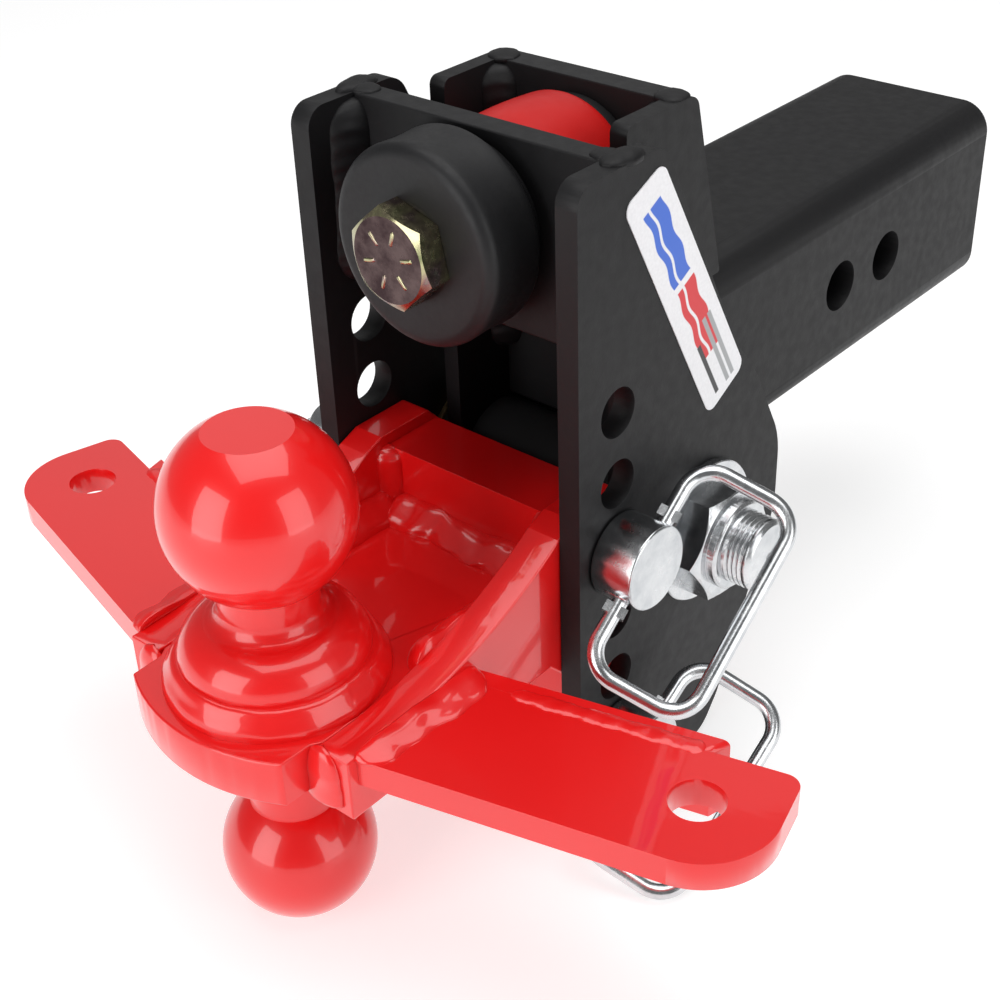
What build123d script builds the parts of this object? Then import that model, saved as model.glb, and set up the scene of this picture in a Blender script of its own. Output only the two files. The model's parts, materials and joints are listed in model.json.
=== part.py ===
from build123d import *
import math
import os

# Cushioned receiver hitch with a pinned, height adjustable ball mount.
# Millimetres. +Z is up, the balls point towards -Y and the shank towards +Y.
# The origin is the outer receiver pin hole: its axis crosses the shank centre line there.

os.makedirs("parts", exist_ok=True)

# ---------------------------------------------------------------- driving dimensions
SHANK = 76.2                # 3 inch square receiver shank
SHANK_WALL = 9.5
SHANK_CORNER = 12.0         # outside corner radius of the tube
SHANK_TAIL = 77.0           # pin hole to the free end of the shank
RECEIVER_HOLE = 19.6        # receiver pin hole diameter
RECEIVER_PITCH = 33.6       # distance between the two receiver pin holes

FRONT_Y = -215.0            # front edges of the front side plates
TOP_Z = 103.5               # top edges of both frames
FRONT_WIDTH = 113.2         # over the outside of the front side plates
FRONT_PLATE = 7.94          # 5/16 inch front side plates
FRONT_BOTTOM_Z = -134.5
HOLE_PITCH = 25.4           # adjusting holes, one inch apart
HOLE_COUNT = 6
HOLE_DIA = 16.67            # 21/32 inch clearance for a 5/8 inch pin
HOLE_Y = FRONT_Y + 19.05
HOLE_TOP_Z = 25.5

PIVOT_Y = -150.0
PIVOT_Z = -40.5
PIVOT_BOLT = 25.4           # 1 inch pivot bolt
PIVOT_BORE = 25.5           # bushing bore, a running fit on the bolt
BUSHING_DIA = 31.9
PIVOT_TUBE_DIA = 38.1
THRUST_WASHER = 2.0
PIVOT_FLATS = 38.1          # across the flats of the bolt head and the nut
PIVOT_WASHER = 3.4
NUT_HEX = 10.4              # length of the nut's hexagon
NUT_COLLAR = 3.6            # length of its round collar
THREAD_PITCH = 1.814        # 14 threads to the inch

REAR_WIDTH = 78.8           # over the outside of the rear side plates
REAR_PLATE = 6.35
BACK_PLATE = 9.5
SHANK_FRONT_Y = -134.0      # front end of the shank, welded to the back plate

CUSHION_Z = 73.5            # height of the cushion bolt
CROSS_FRONT_Y = -195.0      # front face of the cross plate
CROSS_PLATE = 9.5
CROSS_BOTTOM_Z = 40.5
BOLT = 19.05                # 3/4 inch cushion bolt
BOLT_FLATS = 28.6
BOLT_HEAD = 9.4
CUSHION_WASHER = 3.4
CUSHION_PROUD = 8.5         # front cushion in front of the side plates

MOUNT_WIDTH = 96.6          # over the outside of the ball mount side plates
MOUNT_PLATE = 12.7          # 1/2 inch plate
MOUNT_TOP_Z = -11.5
MOUNT_BOTTOM_Z = -124.5
GUSSET_BOTTOM_Z = -61.5
BALL_Y = -292.2             # both balls stand on this line
PLATE_TOP_Z = -40.5         # top of the ball plate and of the sway tabs
BALL_PLATE = 15.9
TOP_BALL_R = 29.37          # 2 5/16 inch ball
TOP_BALL_Z = 18.0
BOTTOM_BALL_R = 25.4        # 2 inch ball
BOTTOM_BALL_Z = -111.9

TAB_PLATE = 9.5
TAB_HOLE = (133.2, -260.0)
TAB_HOLE_DIA = 16.7
TAB_ANGLE = 14.5            # sweep of the tabs, degrees
TAB_FRONT = 24.2            # hole centre to front edge
TAB_REAR = 20.2             # hole centre to rear edge

PIN_DIA = 15.875            # 5/8 inch lock pins
PIN_HEAD_DIA = 28.6
PIN_HEAD = 15.2
WIRE = 5.4                  # handle wire
UPPER_PIN_Z = HOLE_TOP_Z - 2 * HOLE_PITCH
LOWER_PIN_Z = HOLE_TOP_Z - 5 * HOLE_PITCH
HANDLE_LONG = 75.2
HANDLE_SHORT = 36.2
HANDLE_BEND = 10.5          # bend radius on the wire's centre line
KEEPER_WIRE = 3.0

HALF_FRONT = FRONT_WIDTH / 2
FRONT_IN = HALF_FRONT - FRONT_PLATE
REAR_OUT = REAR_WIDTH / 2
REAR_IN = REAR_OUT - REAR_PLATE
MOUNT_OUT = MOUNT_WIDTH / 2
MOUNT_IN = MOUNT_OUT - MOUNT_PLATE
BACK_PLATE_FRONT_Y = SHANK_FRONT_Y - BACK_PLATE
CROSS_BACK_Y = CROSS_FRONT_Y + CROSS_PLATE
PIN_HEAD_X = HALF_FRONT + 0.6
HANDLE_X = PIN_HEAD_X + 9.3
PIN_TIP_X = -78.6
KEEPER_X = -65.6


def save(part, label):
    part.label = label
    export_step(part, "parts/" + label + ".step")


def cylinder_x(radius, x0, x1, y, z, mode=Mode.ADD):
    """Cylinder along X from x0 to x1."""
    with Locations(Location(((x0 + x1) / 2, y, z), (0, 90, 0))):
        Cylinder(radius, abs(x1 - x0), mode=mode)


def cylinder_y(radius, y0, y1, x, z, mode=Mode.ADD):
    """Cylinder along Y from y0 to y1."""
    with Locations(Location((x, (y0 + y1) / 2, z), (90, 0, 0))):
        Cylinder(radius, abs(y1 - y0), mode=mode)


def cylinder_z(radius, z0, z1, x, y, mode=Mode.ADD):
    """Upright cylinder from z0 to z1."""
    with Locations((x, y, (z0 + z1) / 2)):
        Cylinder(radius, abs(z1 - z0), mode=mode)


def block(x0, x1, y0, y1, z0, z1, mode=Mode.ADD):
    """Box between two opposite corners."""
    with Locations(((x0 + x1) / 2, (y0 + y1) / 2, (z0 + z1) / 2)):
        Box(abs(x1 - x0), abs(y1 - y0), abs(z1 - z0), mode=mode)


def rounded_face(plane, points, radii):
    """Closed outline on a plane, with its own radius at each corner (0 keeps it sharp)."""
    with BuildSketch(plane, mode=Mode.PRIVATE) as face:
        with BuildLine():
            Polyline(*points, close=True)
        make_face()
        for point, radius in zip(points, radii):
            if radius > 0:
                corner = face.vertices().sort_by_distance((point[0], point[1], 0))[0]
                fillet(corner, radius)
    return face.sketch


def yz_outline(points, radii, x0, thickness):
    """Plate in the YZ plane with rounded corners, thickness towards +X."""
    extrude(rounded_face(Plane.YZ.offset(x0), points, radii), amount=thickness)


def xy_outline(points, radii, z0, thickness):
    """Plate in the XY plane with rounded corners, thickness towards +Z."""
    extrude(rounded_face(Plane.XY.offset(z0), points, radii), amount=thickness)


# ---------------------------------------------------------------- shank and rear frame
def make_shank():
    """Square tube with two cross holes for the receiver pin."""
    with BuildPart() as shank:
        with BuildSketch(Plane.XZ.offset(-SHANK_FRONT_Y)):
            RectangleRounded(SHANK, SHANK, SHANK_CORNER)
            inner = SHANK - 2 * SHANK_WALL
            RectangleRounded(inner, inner, SHANK_CORNER - SHANK_WALL + 1, mode=Mode.SUBTRACT)
        extrude(amount=SHANK_FRONT_Y - SHANK_TAIL)
        for hole_y in (0, -RECEIVER_PITCH):
            cylinder_x(RECEIVER_HOLE / 2, -SHANK, SHANK, hole_y, 0, Mode.SUBTRACT)
        cylinder_x(PIVOT_TUBE_DIA / 2, -SHANK, SHANK, PIVOT_Y, PIVOT_Z, Mode.SUBTRACT)
    save(shank.part, "shank_tube")


def make_back_plate():
    """Upright plate that joins the rear side plates and closes the shank."""
    with BuildPart() as plate:
        block(-REAR_IN, REAR_IN, BACK_PLATE_FRONT_Y, SHANK_FRONT_Y, -20.5, TOP_Z)
        cylinder_y(BOLT / 2 + 0.6, -SHANK_TAIL * 3, 0, 0, CUSHION_Z, Mode.SUBTRACT)
    save(plate.part, "back_plate")


def rear_side_outline():
    """Rear side plate: upright in front, a tail on the shank, a boss at the pivot."""
    front = FRONT_Y + 45
    points = [
        (front, TOP_Z),
        (SHANK_FRONT_Y, TOP_Z),
        (-118.0, SHANK / 2),
        (SHANK_FRONT_Y, SHANK / 2),
        (SHANK_FRONT_Y, PIVOT_Z - 20),
        (PIVOT_Y + 8, PIVOT_Z - 24),
        (PIVOT_Y - 8, PIVOT_Z - 24),
        (front, PIVOT_Z - 14),
    ]
    return points, [3, 5, 1, 0, 4, 6, 6, 10]


def make_rear_side_plate(label, x0):
    """One of the two inner side plates of the rear frame."""
    points, radii = rear_side_outline()
    with BuildPart() as plate:
        yz_outline(points, radii, x0, REAR_PLATE)
        cylinder_x(PIVOT_TUBE_DIA / 2, -SHANK, SHANK, PIVOT_Y, PIVOT_Z, Mode.SUBTRACT)
    save(plate.part, label)


def make_pivot_tube():
    """Cross tube welded through the rear side plates, it holds the bushings."""
    end = FRONT_IN - THRUST_WASHER
    with BuildPart() as tube:
        cylinder_x(PIVOT_TUBE_DIA / 2, -end, end, PIVOT_Y, PIVOT_Z)
        cylinder_x(BUSHING_DIA / 2, -end, end, PIVOT_Y, PIVOT_Z, Mode.SUBTRACT)
    save(tube.part, "pivot_tube")


def make_bushing(label, x0, x1):
    """Plain bushing pressed into one end of the cross tube."""
    with BuildPart() as bushing:
        cylinder_x(BUSHING_DIA / 2, x0, x1, PIVOT_Y, PIVOT_Z)
        cylinder_x(PIVOT_BORE / 2, x0, x1, PIVOT_Y, PIVOT_Z, Mode.SUBTRACT)
    save(bushing.part, label)


def make_ring_y(label, outer, bore, y0, y1):
    """Flat ring round the cushion bolt."""
    with BuildPart() as ring:
        cylinder_y(outer, y0, y1, 0, CUSHION_Z)
        cylinder_y(bore, y0, y1, 0, CUSHION_Z, Mode.SUBTRACT)
        chamfer(ring.edges().filter_by(GeomType.CIRCLE), 0.4)
    save(ring.part, label)


def make_cushion_bolt():
    """Hex head bolt through both cushions, head to the front."""
    head_back = FRONT_Y - CUSHION_PROUD
    head_front = head_back - BOLT_HEAD
    with BuildPart() as bolt:
        with BuildSketch(Plane.XZ.offset(-head_front) * Location((0, CUSHION_Z))):
            RegularPolygon(BOLT_FLATS / 2, 6, major_radius=False, rotation=42.9)
        extrude(amount=-BOLT_HEAD)
        with Locations(Location((0, head_front + BOLT_HEAD / 2, CUSHION_Z), (90, 0, 0))):
            Cone(BOLT_FLATS / 2 + 15, BOLT_FLATS / 2 - 0.7, BOLT_HEAD, mode=Mode.INTERSECT)
        cylinder_y(BOLT / 2, head_back, SHANK_FRONT_Y + 26, 0, CUSHION_Z)
        chamfer(bolt.faces().sort_by(Axis.Y)[-1].edges(), 1.5)
    save(bolt.part, "cushion_bolt")


def make_cushion_nut():
    """Hex nut behind the back plate."""
    y0 = SHANK_FRONT_Y + CUSHION_WASHER
    with BuildPart() as nut:
        with BuildSketch(Plane.XZ.offset(-y0) * Location((0, CUSHION_Z))):
            RegularPolygon(BOLT_FLATS / 2, 6, major_radius=False)
            Circle(BOLT / 2, mode=Mode.SUBTRACT)
        extrude(amount=-16.3)
    save(nut.part, "cushion_bolt_nut")


def make_cushion(label, outer, y0, y1, front_r, rear_r, groove):
    """Round elastic buffer with rounded edges and a clearance bore."""
    with BuildPart() as cushion:
        cylinder_y(outer, y0, y1, 0, CUSHION_Z)
        rims = cushion.edges().filter_by(GeomType.CIRCLE).sort_by(Axis.Y)
        fillet(rims[0], front_r)
        rims = cushion.edges().filter_by(GeomType.CIRCLE).sort_by(Axis.Y)
        fillet(rims[-1], rear_r)
        cylinder_y(groove, y0, y1, 0, CUSHION_Z, Mode.SUBTRACT)
    save(cushion.part, label)


# ---------------------------------------------------------------- front frame
def front_side_outline():
    """Kite shaped side plate with a round bulge about the pivot."""
    points = [
        (FRONT_Y, TOP_Z),
        (-174.2, TOP_Z),
        (-133.4, 24.4),
        (-119.0, 6.0),
        (-101.6, -26.5),
        (-101.6, -56.5),
        (-134.0, -123.0),
        (-143.0, FRONT_BOTTOM_Z),
        (FRONT_Y, FRONT_BOTTOM_Z),
    ]
    return points, [7, 9, 30, 30, 34, 34, 10, 12, 7]


def make_front_side_plate(label, x0):
    """Side plate with the column of adjusting holes and the pivot hole."""
    points, radii = front_side_outline()
    with BuildPart() as plate:
        yz_outline(points, radii, x0, FRONT_PLATE)
        for row in range(HOLE_COUNT):
            z = HOLE_TOP_Z - row * HOLE_PITCH
            cylinder_x(HOLE_DIA / 2, -90, 90, HOLE_Y, z, Mode.SUBTRACT)
        cylinder_x(PIVOT_BOLT / 2 + 0.15, -90, 90, PIVOT_Y, PIVOT_Z, Mode.SUBTRACT)
    save(plate.part, label)


def make_cross_plate():
    """Plate between the front side plates that the cushions push on."""
    with BuildPart() as plate:
        block(-FRONT_IN, FRONT_IN, CROSS_FRONT_Y, CROSS_BACK_Y, CROSS_BOTTOM_Z, TOP_Z)
        cylinder_y(13.2, CROSS_FRONT_Y, CROSS_BACK_Y, 0, CUSHION_Z, Mode.SUBTRACT)
    save(plate.part, "cross_plate")


def make_corner_weld(label, side):
    """Vertical bead between cross plate and side plate with a rounded cap on top."""
    x_in = side * FRONT_IN
    leg = 9.0
    with BuildPart() as weld:
        with BuildSketch(Plane.XY.offset(CROSS_BOTTOM_Z)):
            with BuildLine():
                Polyline(
                    (x_in, CROSS_FRONT_Y),
                    (x_in, CROSS_FRONT_Y - leg),
                    (x_in - side * leg * 0.62, CROSS_FRONT_Y - leg * 0.38),
                    (x_in - side * leg, CROSS_FRONT_Y),
                    close=True,
                )
            make_face()
        extrude(amount=TOP_Z - CROSS_BOTTOM_Z)
        with Locations(Location((side * (HALF_FRONT - 1.5), CROSS_FRONT_Y + 2.5, TOP_Z))):
            Box(16, 17, 3.2, align=(Align.MAX if side > 0 else Align.MIN, Align.CENTER, Align.MIN))
        fillet(weld.faces().sort_by(Axis.Z)[-1].edges(), 1.6)
    save(weld.part, label)


def make_pivot_bolt():
    """Large hex head pivot bolt, head on the left, thread on the right."""
    head_x = -HALF_FRONT - PIVOT_WASHER
    tip_x = HALF_FRONT + 28.0
    thread_x = HALF_FRONT + PIVOT_WASHER + NUT_HEX + NUT_COLLAR + 1.0
    axis = Axis((0, PIVOT_Y, PIVOT_Z), (1, 0, 0))
    with BuildPart() as bolt:
        cylinder_x(PIVOT_BOLT / 2, head_x, tip_x, PIVOT_Y, PIVOT_Z)
        chamfer(bolt.faces().sort_by(Axis.X)[-1].edges(), 1.4)
        with BuildSketch(Plane.YZ.offset(head_x) * Location((PIVOT_Y, PIVOT_Z))):
            RegularPolygon(PIVOT_FLATS / 2, 6, major_radius=False)
        extrude(amount=-16.0)
        with BuildSketch(Plane((0, PIVOT_Y, PIVOT_Z), x_dir=(1, 0, 0), z_dir=(0, 0, 1))):
            for turn in range(4):
                x = thread_x + (turn + 0.5) * THREAD_PITCH
                with BuildLine():
                    Polyline(
                        (x - 0.45 * THREAD_PITCH, PIVOT_BOLT / 2 + 0.1),
                        (x + 0.45 * THREAD_PITCH, PIVOT_BOLT / 2 + 0.1),
                        (x, PIVOT_BOLT / 2 - 0.9),
                        close=True,
                    )
                make_face()
        revolve(axis=axis, mode=Mode.SUBTRACT)
        with Locations(Location((tip_x, PIVOT_Y, PIVOT_Z), (0, 90, 0))):
            Cone(0.5, 2.2, 4.0, mode=Mode.SUBTRACT)
    save(bolt.part, "pivot_bolt")


def make_washer_x(label, outer, bore, x0, x1):
    """Flat washer on the pivot bolt."""
    with BuildPart() as washer:
        cylinder_x(outer, x0, x1, PIVOT_Y, PIVOT_Z)
        cylinder_x(bore, x0, x1, PIVOT_Y, PIVOT_Z, Mode.SUBTRACT)
        chamfer(washer.edges().filter_by(GeomType.CIRCLE), 0.35)
    save(washer.part, label)


def make_pivot_nut():
    """Hex lock nut with a round collar on the right end of the pivot bolt."""
    x0 = HALF_FRONT + PIVOT_WASHER
    middle = x0 + NUT_HEX / 2
    collar_x = x0 + NUT_HEX
    with BuildPart() as nut:
        with BuildSketch(Plane.YZ.offset(x0) * Location((PIVOT_Y, PIVOT_Z))):
            RegularPolygon(PIVOT_FLATS / 2, 6, major_radius=False, rotation=2.3)
        extrude(amount=NUT_HEX)
        with Locations(Location((middle, PIVOT_Y, PIVOT_Z), (0, 90, 0))):
            Cone(PIVOT_FLATS / 2 + 16, PIVOT_FLATS / 2 - 0.4, NUT_HEX, mode=Mode.INTERSECT)
        cylinder_x(15.8, collar_x, collar_x + NUT_COLLAR, PIVOT_Y, PIVOT_Z)
        chamfer(nut.faces().sort_by(Axis.X)[-1].edges(), 1.0)
        cylinder_x(PIVOT_BOLT / 2, x0, x0 + 30, PIVOT_Y, PIVOT_Z, Mode.SUBTRACT)
    save(nut.part, "pivot_nut")


def make_label():
    """Thin sticker along the slanted edge of the right side plate."""
    points = [(-175.6, 99.0), (-194.4, 90.6), (-147.2, 2.6), (-127.8, 13.2)]
    with BuildPart() as label:
        yz_outline(points, [4, 4, 4, 4], HALF_FRONT, 0.3)
    save(label.part, "label")


# ---------------------------------------------------------------- ball mount
def mount_side_outline():
    """Side plate of the ball mount: pin column behind, concave gusset in front."""
    rear = FRONT_Y + 35.5
    with BuildLine() as outline:
        Polyline(
            (FRONT_Y, -14.6),
            (FRONT_Y + 8, MOUNT_TOP_Z),
            (rear - 4, MOUNT_TOP_Z),
            (rear, MOUNT_TOP_Z - 4),
            (rear, MOUNT_BOTTOM_Z),
            (FRONT_Y + 1, MOUNT_BOTTOM_Z),
            (FRONT_Y + 1, GUSSET_BOTTOM_Z - 6),
            (FRONT_Y - 5, GUSSET_BOTTOM_Z),
            (FRONT_Y - 95.5, GUSSET_BOTTOM_Z),
            (FRONT_Y - 95.5, -40.0),
        )
        ThreePointArc((FRONT_Y - 95.5, -40.0), (FRONT_Y - 36, -31.6), (FRONT_Y, -14.6))
    return outline.line


def make_mount_side_plate(label, x0):
    """One flame cut side plate of the ball mount."""
    with BuildPart() as plate:
        with BuildSketch(Plane.YZ.offset(x0)):
            add(mount_side_outline())
            make_face()
        extrude(amount=MOUNT_PLATE)
        for z in (UPPER_PIN_Z, LOWER_PIN_Z):
            cylinder_x(HOLE_DIA / 2, -90, 90, HOLE_Y, z, Mode.SUBTRACT)
    save(plate.part, label)


def make_mount_block(label, z0, z1, pin_z):
    """Solid cross block between the mount side plates, bored for a lock pin."""
    with BuildPart() as body:
        block(-MOUNT_IN, MOUNT_IN, FRONT_Y + 10.5, FRONT_Y + 35, z0, z1)
        cylinder_x(HOLE_DIA / 2, -90, 90, HOLE_Y, pin_z, Mode.SUBTRACT)
    save(body.part, label)


def make_ball_plate():
    """Thick plate with an arc front edge that carries both balls."""
    front = BALL_Y - 38.8
    corner_y = BALL_Y - 29.8
    shoulder_y = FRONT_Y - 95.5
    with BuildPart() as plate:
        with BuildSketch(Plane.XY.offset(PLATE_TOP_Z - BALL_PLATE)):
            with BuildLine():
                ThreePointArc((-33.2, corner_y), (0, front), (33.2, corner_y))
                Polyline(
                    (33.2, corner_y),
                    (33.5, shoulder_y - 0.5),
                    (MOUNT_IN, shoulder_y + 3),
                    (MOUNT_IN, FRONT_Y + 10.5),
                    (-MOUNT_IN, FRONT_Y + 10.5),
                    (-MOUNT_IN, shoulder_y + 3),
                    (-33.5, shoulder_y - 0.5),
                    (-33.2, corner_y),
                )
            make_face()
        extrude(amount=BALL_PLATE)
        cylinder_z(12.7, -80, 0, 0, BALL_Y, Mode.SUBTRACT)
    save(plate.part, "ball_plate")


def make_top_ball():
    """Towing ball with flat top, neck, flared base and a stem through the plate."""
    flat_r = 13.4
    top = TOP_BALL_Z + math.sqrt(TOP_BALL_R ** 2 - flat_r ** 2)
    neck_r = 15.6
    neck_z = TOP_BALL_Z - math.sqrt(TOP_BALL_R ** 2 - neck_r ** 2)
    with BuildPart() as ball:
        with BuildSketch(Plane.XZ):
            with BuildLine():
                Line((0, top), (flat_r, top))
                ThreePointArc((flat_r, top), (TOP_BALL_R, TOP_BALL_Z), (neck_r, neck_z))
                Line((neck_r, neck_z), (neck_r, -14.5))
                ThreePointArc((neck_r, -14.5), (17.0, -17.9), (20.5, -19.6))
                ThreePointArc((20.5, -19.6), (26.6, -23.2), (29.6, -30.0))
                Polyline((29.6, -30.0), (29.6, PLATE_TOP_Z), (12.7, PLATE_TOP_Z))
                Polyline((12.7, PLATE_TOP_Z), (12.7, PLATE_TOP_Z - BALL_PLATE))
                Polyline((12.7, PLATE_TOP_Z - BALL_PLATE), (0, PLATE_TOP_Z - BALL_PLATE), (0, top))
            make_face()
        revolve(axis=Axis.Z)
    save(ball.part.moved(Location((0, BALL_Y, 0))), "top_ball")


def make_bottom_ball():
    """Smaller ball hanging under the plate on a short neck."""
    neck_r = 14.5
    low = BOTTOM_BALL_Z - math.sqrt(BOTTOM_BALL_R ** 2 - 9.0 ** 2)
    under = PLATE_TOP_Z - BALL_PLATE
    join = BOTTOM_BALL_Z + math.sqrt(BOTTOM_BALL_R ** 2 - neck_r ** 2)
    with BuildPart() as ball:
        with BuildSketch(Plane.XZ):
            with BuildLine():
                Polyline((0, under), (neck_r + 8, under), (neck_r + 8, under - 3))
                ThreePointArc((neck_r + 8, under - 3), (neck_r + 2.4, under - 6.6), (neck_r, under - 12))
                Line((neck_r, under - 12), (neck_r, join))
                ThreePointArc((neck_r, join), (BOTTOM_BALL_R, BOTTOM_BALL_Z), (9.0, low))
                Polyline((9.0, low), (0, low), (0, under))
            make_face()
        revolve(axis=Axis.Z)
    save(ball.part.moved(Location((0, BALL_Y, 0))), "bottom_ball")


def tab_point(side, u, n):
    """Point on a tab: u outwards along the tab from its hole, n rearwards."""
    a = math.radians(TAB_ANGLE)
    x = TAB_HOLE[0] + u * math.cos(a) - n * math.sin(a)
    y = TAB_HOLE[1] + u * math.sin(a) + n * math.cos(a)
    return (side * x, y)


def root_point(side, n):
    """Where the line at distance n from the hole meets the mount side plate."""
    a = math.radians(TAB_ANGLE)
    u = (MOUNT_OUT - TAB_HOLE[0] + n * math.sin(a)) / math.cos(a)
    return tab_point(side, u, n)


def make_sway_tab(label, side):
    """Flat swept tab with a hole near its end."""
    points = [
        root_point(side, -TAB_FRONT),
        tab_point(side, TAB_FRONT, -TAB_FRONT),
        tab_point(side, TAB_FRONT, TAB_REAR),
        root_point(side, TAB_REAR),
    ]
    with BuildPart() as tab:
        xy_outline(points, [0, TAB_FRONT - 0.4, 5, 0], PLATE_TOP_Z - TAB_PLATE, TAB_PLATE)
        cylinder_z(TAB_HOLE_DIA / 2, -80, 0, side * TAB_HOLE[0], TAB_HOLE[1], Mode.SUBTRACT)
    save(tab.part, label)


def make_stiffener(label, side):
    """Upright bar welded along the rear edge of a sway tab."""
    inner = TAB_REAR
    outer = TAB_REAR + 6.35
    points = [
        root_point(side, inner),
        tab_point(side, -3.4, inner),
        tab_point(side, 0.2, outer),
        root_point(side, outer),
    ]
    with BuildPart() as bar:
        xy_outline(points, [0, 0, 0, 0], PLATE_TOP_Z - 25, 25)
        top_edges = bar.faces().sort_by(Axis.Z)[-1].edges()
        fillet(top_edges.sort_by(Axis.Y)[-1], 2.0)
    save(bar.part, label)


# ---------------------------------------------------------------- welds of the ball mount
def prism_x(x0, x1, y, z, leg_y, leg_z):
    """Triangular bead along X in the corner at y, z."""
    points = [(y, z), (y + leg_y, z), (y, z + leg_z)]
    extrude(rounded_face(Plane.YZ.offset(x0), points, [0, 0, 0]), amount=x1 - x0)


def prism_y(y0, y1, x, z, leg_x, leg_z):
    """Triangular bead along Y in the corner at x, z."""
    points = [(x, z), (x + leg_x, z), (x, z + leg_z)]
    extrude(rounded_face(Plane.XZ.offset(-y0), points, [0, 0, 0]), amount=-(y1 - y0))


def make_block_welds():
    """Beads in front of the upper cross block, on the ball plate and on its top edge."""
    face_y = FRONT_Y + 10.5
    with BuildPart() as weld:
        prism_x(-MOUNT_IN, MOUNT_IN, face_y, PLATE_TOP_Z, -9.0, 8.0)
    save(weld.part, "weld_block_front")


def make_plate_side_weld(label, side):
    """Bead along the inside of a gusset, on top of the ball plate."""
    x = side * MOUNT_IN
    with BuildPart() as weld:
        prism_y(FRONT_Y - 24, FRONT_Y + 1.5, x, PLATE_TOP_Z, -side * 8.0, 9.0)
    save(weld.part, label)


def make_tab_weld(label, side):
    """Bead along the root of a sway tab, against the outside of the gusset."""
    y0 = root_point(side, -TAB_FRONT)[1]
    y1 = root_point(side, TAB_REAR)[1]
    with BuildPart() as weld:
        prism_y(y0, y1, side * MOUNT_OUT, PLATE_TOP_Z, side * 6.5, 5.0)
    save(weld.part, label)


def make_gusset_end_weld(label, side):
    """Rounded bead in the corner between the gusset end and the ball plate edge."""
    y = FRONT_Y - 95.5
    with BuildPart() as weld:
        block(side * 34.0, side * 44.0, y - 5.5, y, GUSSET_BOTTOM_Z + 3.5, -42.0)
        fillet(weld.faces().sort_by(Axis.Y)[0].edges(), 4.0)
    save(weld.part, label)


def make_ball_weld():
    """Round bead between the base of the top ball and the plate."""
    with BuildPart() as weld:
        with BuildSketch(Plane.XZ):
            with BuildLine():
                Polyline((34.8, PLATE_TOP_Z), (29.6, PLATE_TOP_Z), (29.6, -31.0), (30.2, -30.6))
                ThreePointArc((30.2, -30.6), (33.6, -35.2), (34.8, PLATE_TOP_Z))
            make_face()
        revolve(axis=Axis.Z)
    save(weld.part.moved(Location((0, BALL_Y, 0))), "weld_top_ball")


# ---------------------------------------------------------------- lock pins
def handle_frame(pin_z, lean, drop):
    """Unit vectors of a handle: h along its hinge, v across its loop."""
    h = Vector(0, math.cos(lean), math.sin(lean))
    n = Vector(0, math.sin(lean), -math.cos(lean))
    v = Vector(math.cos(drop), 0, 0) + n * math.sin(drop)
    return Vector(HANDLE_X, HOLE_Y, pin_z), h, v


def make_pin(label, pin_z, lean):
    """Lock pin with a drum head, a cross hole for the handle and one for the keeper."""
    with BuildPart() as pin:
        cylinder_x(PIN_DIA / 2, PIN_TIP_X, PIN_HEAD_X, HOLE_Y, pin_z)
        chamfer(pin.faces().sort_by(Axis.X)[0].edges(), 2.0)
        cylinder_x(PIN_HEAD_DIA / 2, PIN_HEAD_X, PIN_HEAD_X + PIN_HEAD, HOLE_Y, pin_z)
        fillet(pin.faces().sort_by(Axis.X)[-1].edges(), 0.8)
        centre, h, v = handle_frame(pin_z, lean, 0)
        with Locations(Plane(origin=centre, x_dir=v, z_dir=h).location):
            Cylinder(WIRE / 2 + 0.05, 60, mode=Mode.SUBTRACT)
        cylinder_y(KEEPER_WIRE / 2 + 0.2, HOLE_Y - 20, HOLE_Y + 20, KEEPER_X, pin_z, Mode.SUBTRACT)
    save(pin.part, label)


def make_handle(label, pin_z, lean, drop, slide):
    """Closed rectangular wire loop that swings in the pin head, slid along its hinge."""
    centre, h, v = handle_frame(pin_z, lean, drop)
    centre = centre + h * slide
    a = centre + h * (HANDLE_LONG / 2)
    b = a + v * HANDLE_SHORT
    d = centre - h * (HANDLE_LONG / 2)
    c = d + v * HANDLE_SHORT
    start = centre + h * 2.0
    end = centre - h * 2.0
    with BuildPart() as handle:
        with BuildLine():
            FilletPolyline(start, a, b, c, d, end, radius=HANDLE_BEND)
        with BuildSketch(Plane(origin=start, x_dir=v, z_dir=h)):
            Circle(WIRE / 2)
        sweep()
        for sign in (1, -1):
            ear = centre + h * (sign * (PIN_HEAD_DIA / 2 + 3.3))
            with Locations(Plane(origin=ear, x_dir=v, z_dir=h).location):
                Box(WIRE + 2.0, WIRE - 0.6, 3.6)
    save(handle.part, label)


def make_keeper(label, pin_z):
    """Wire keeper pushed in from the front: one leg through the pin, the other past its tip."""
    r = KEEPER_WIRE / 2
    outer_x = PIN_TIP_X - r - 0.8
    with BuildPart() as keeper:
        with BuildLine():
            FilletPolyline(
                (KEEPER_X, HOLE_Y + 16, pin_z),
                (KEEPER_X, HOLE_Y - 25, pin_z),
                (outer_x, HOLE_Y - 25, pin_z),
                (outer_x, HOLE_Y + 12, pin_z),
                (outer_x - 5, HOLE_Y + 19, pin_z),
                radius=5.0,
            )
        with BuildSketch(Plane.XZ.offset(-HOLE_Y - 16) * Location((KEEPER_X, pin_z))):
            Circle(r)
        sweep()
    save(keeper.part, label)


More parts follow.
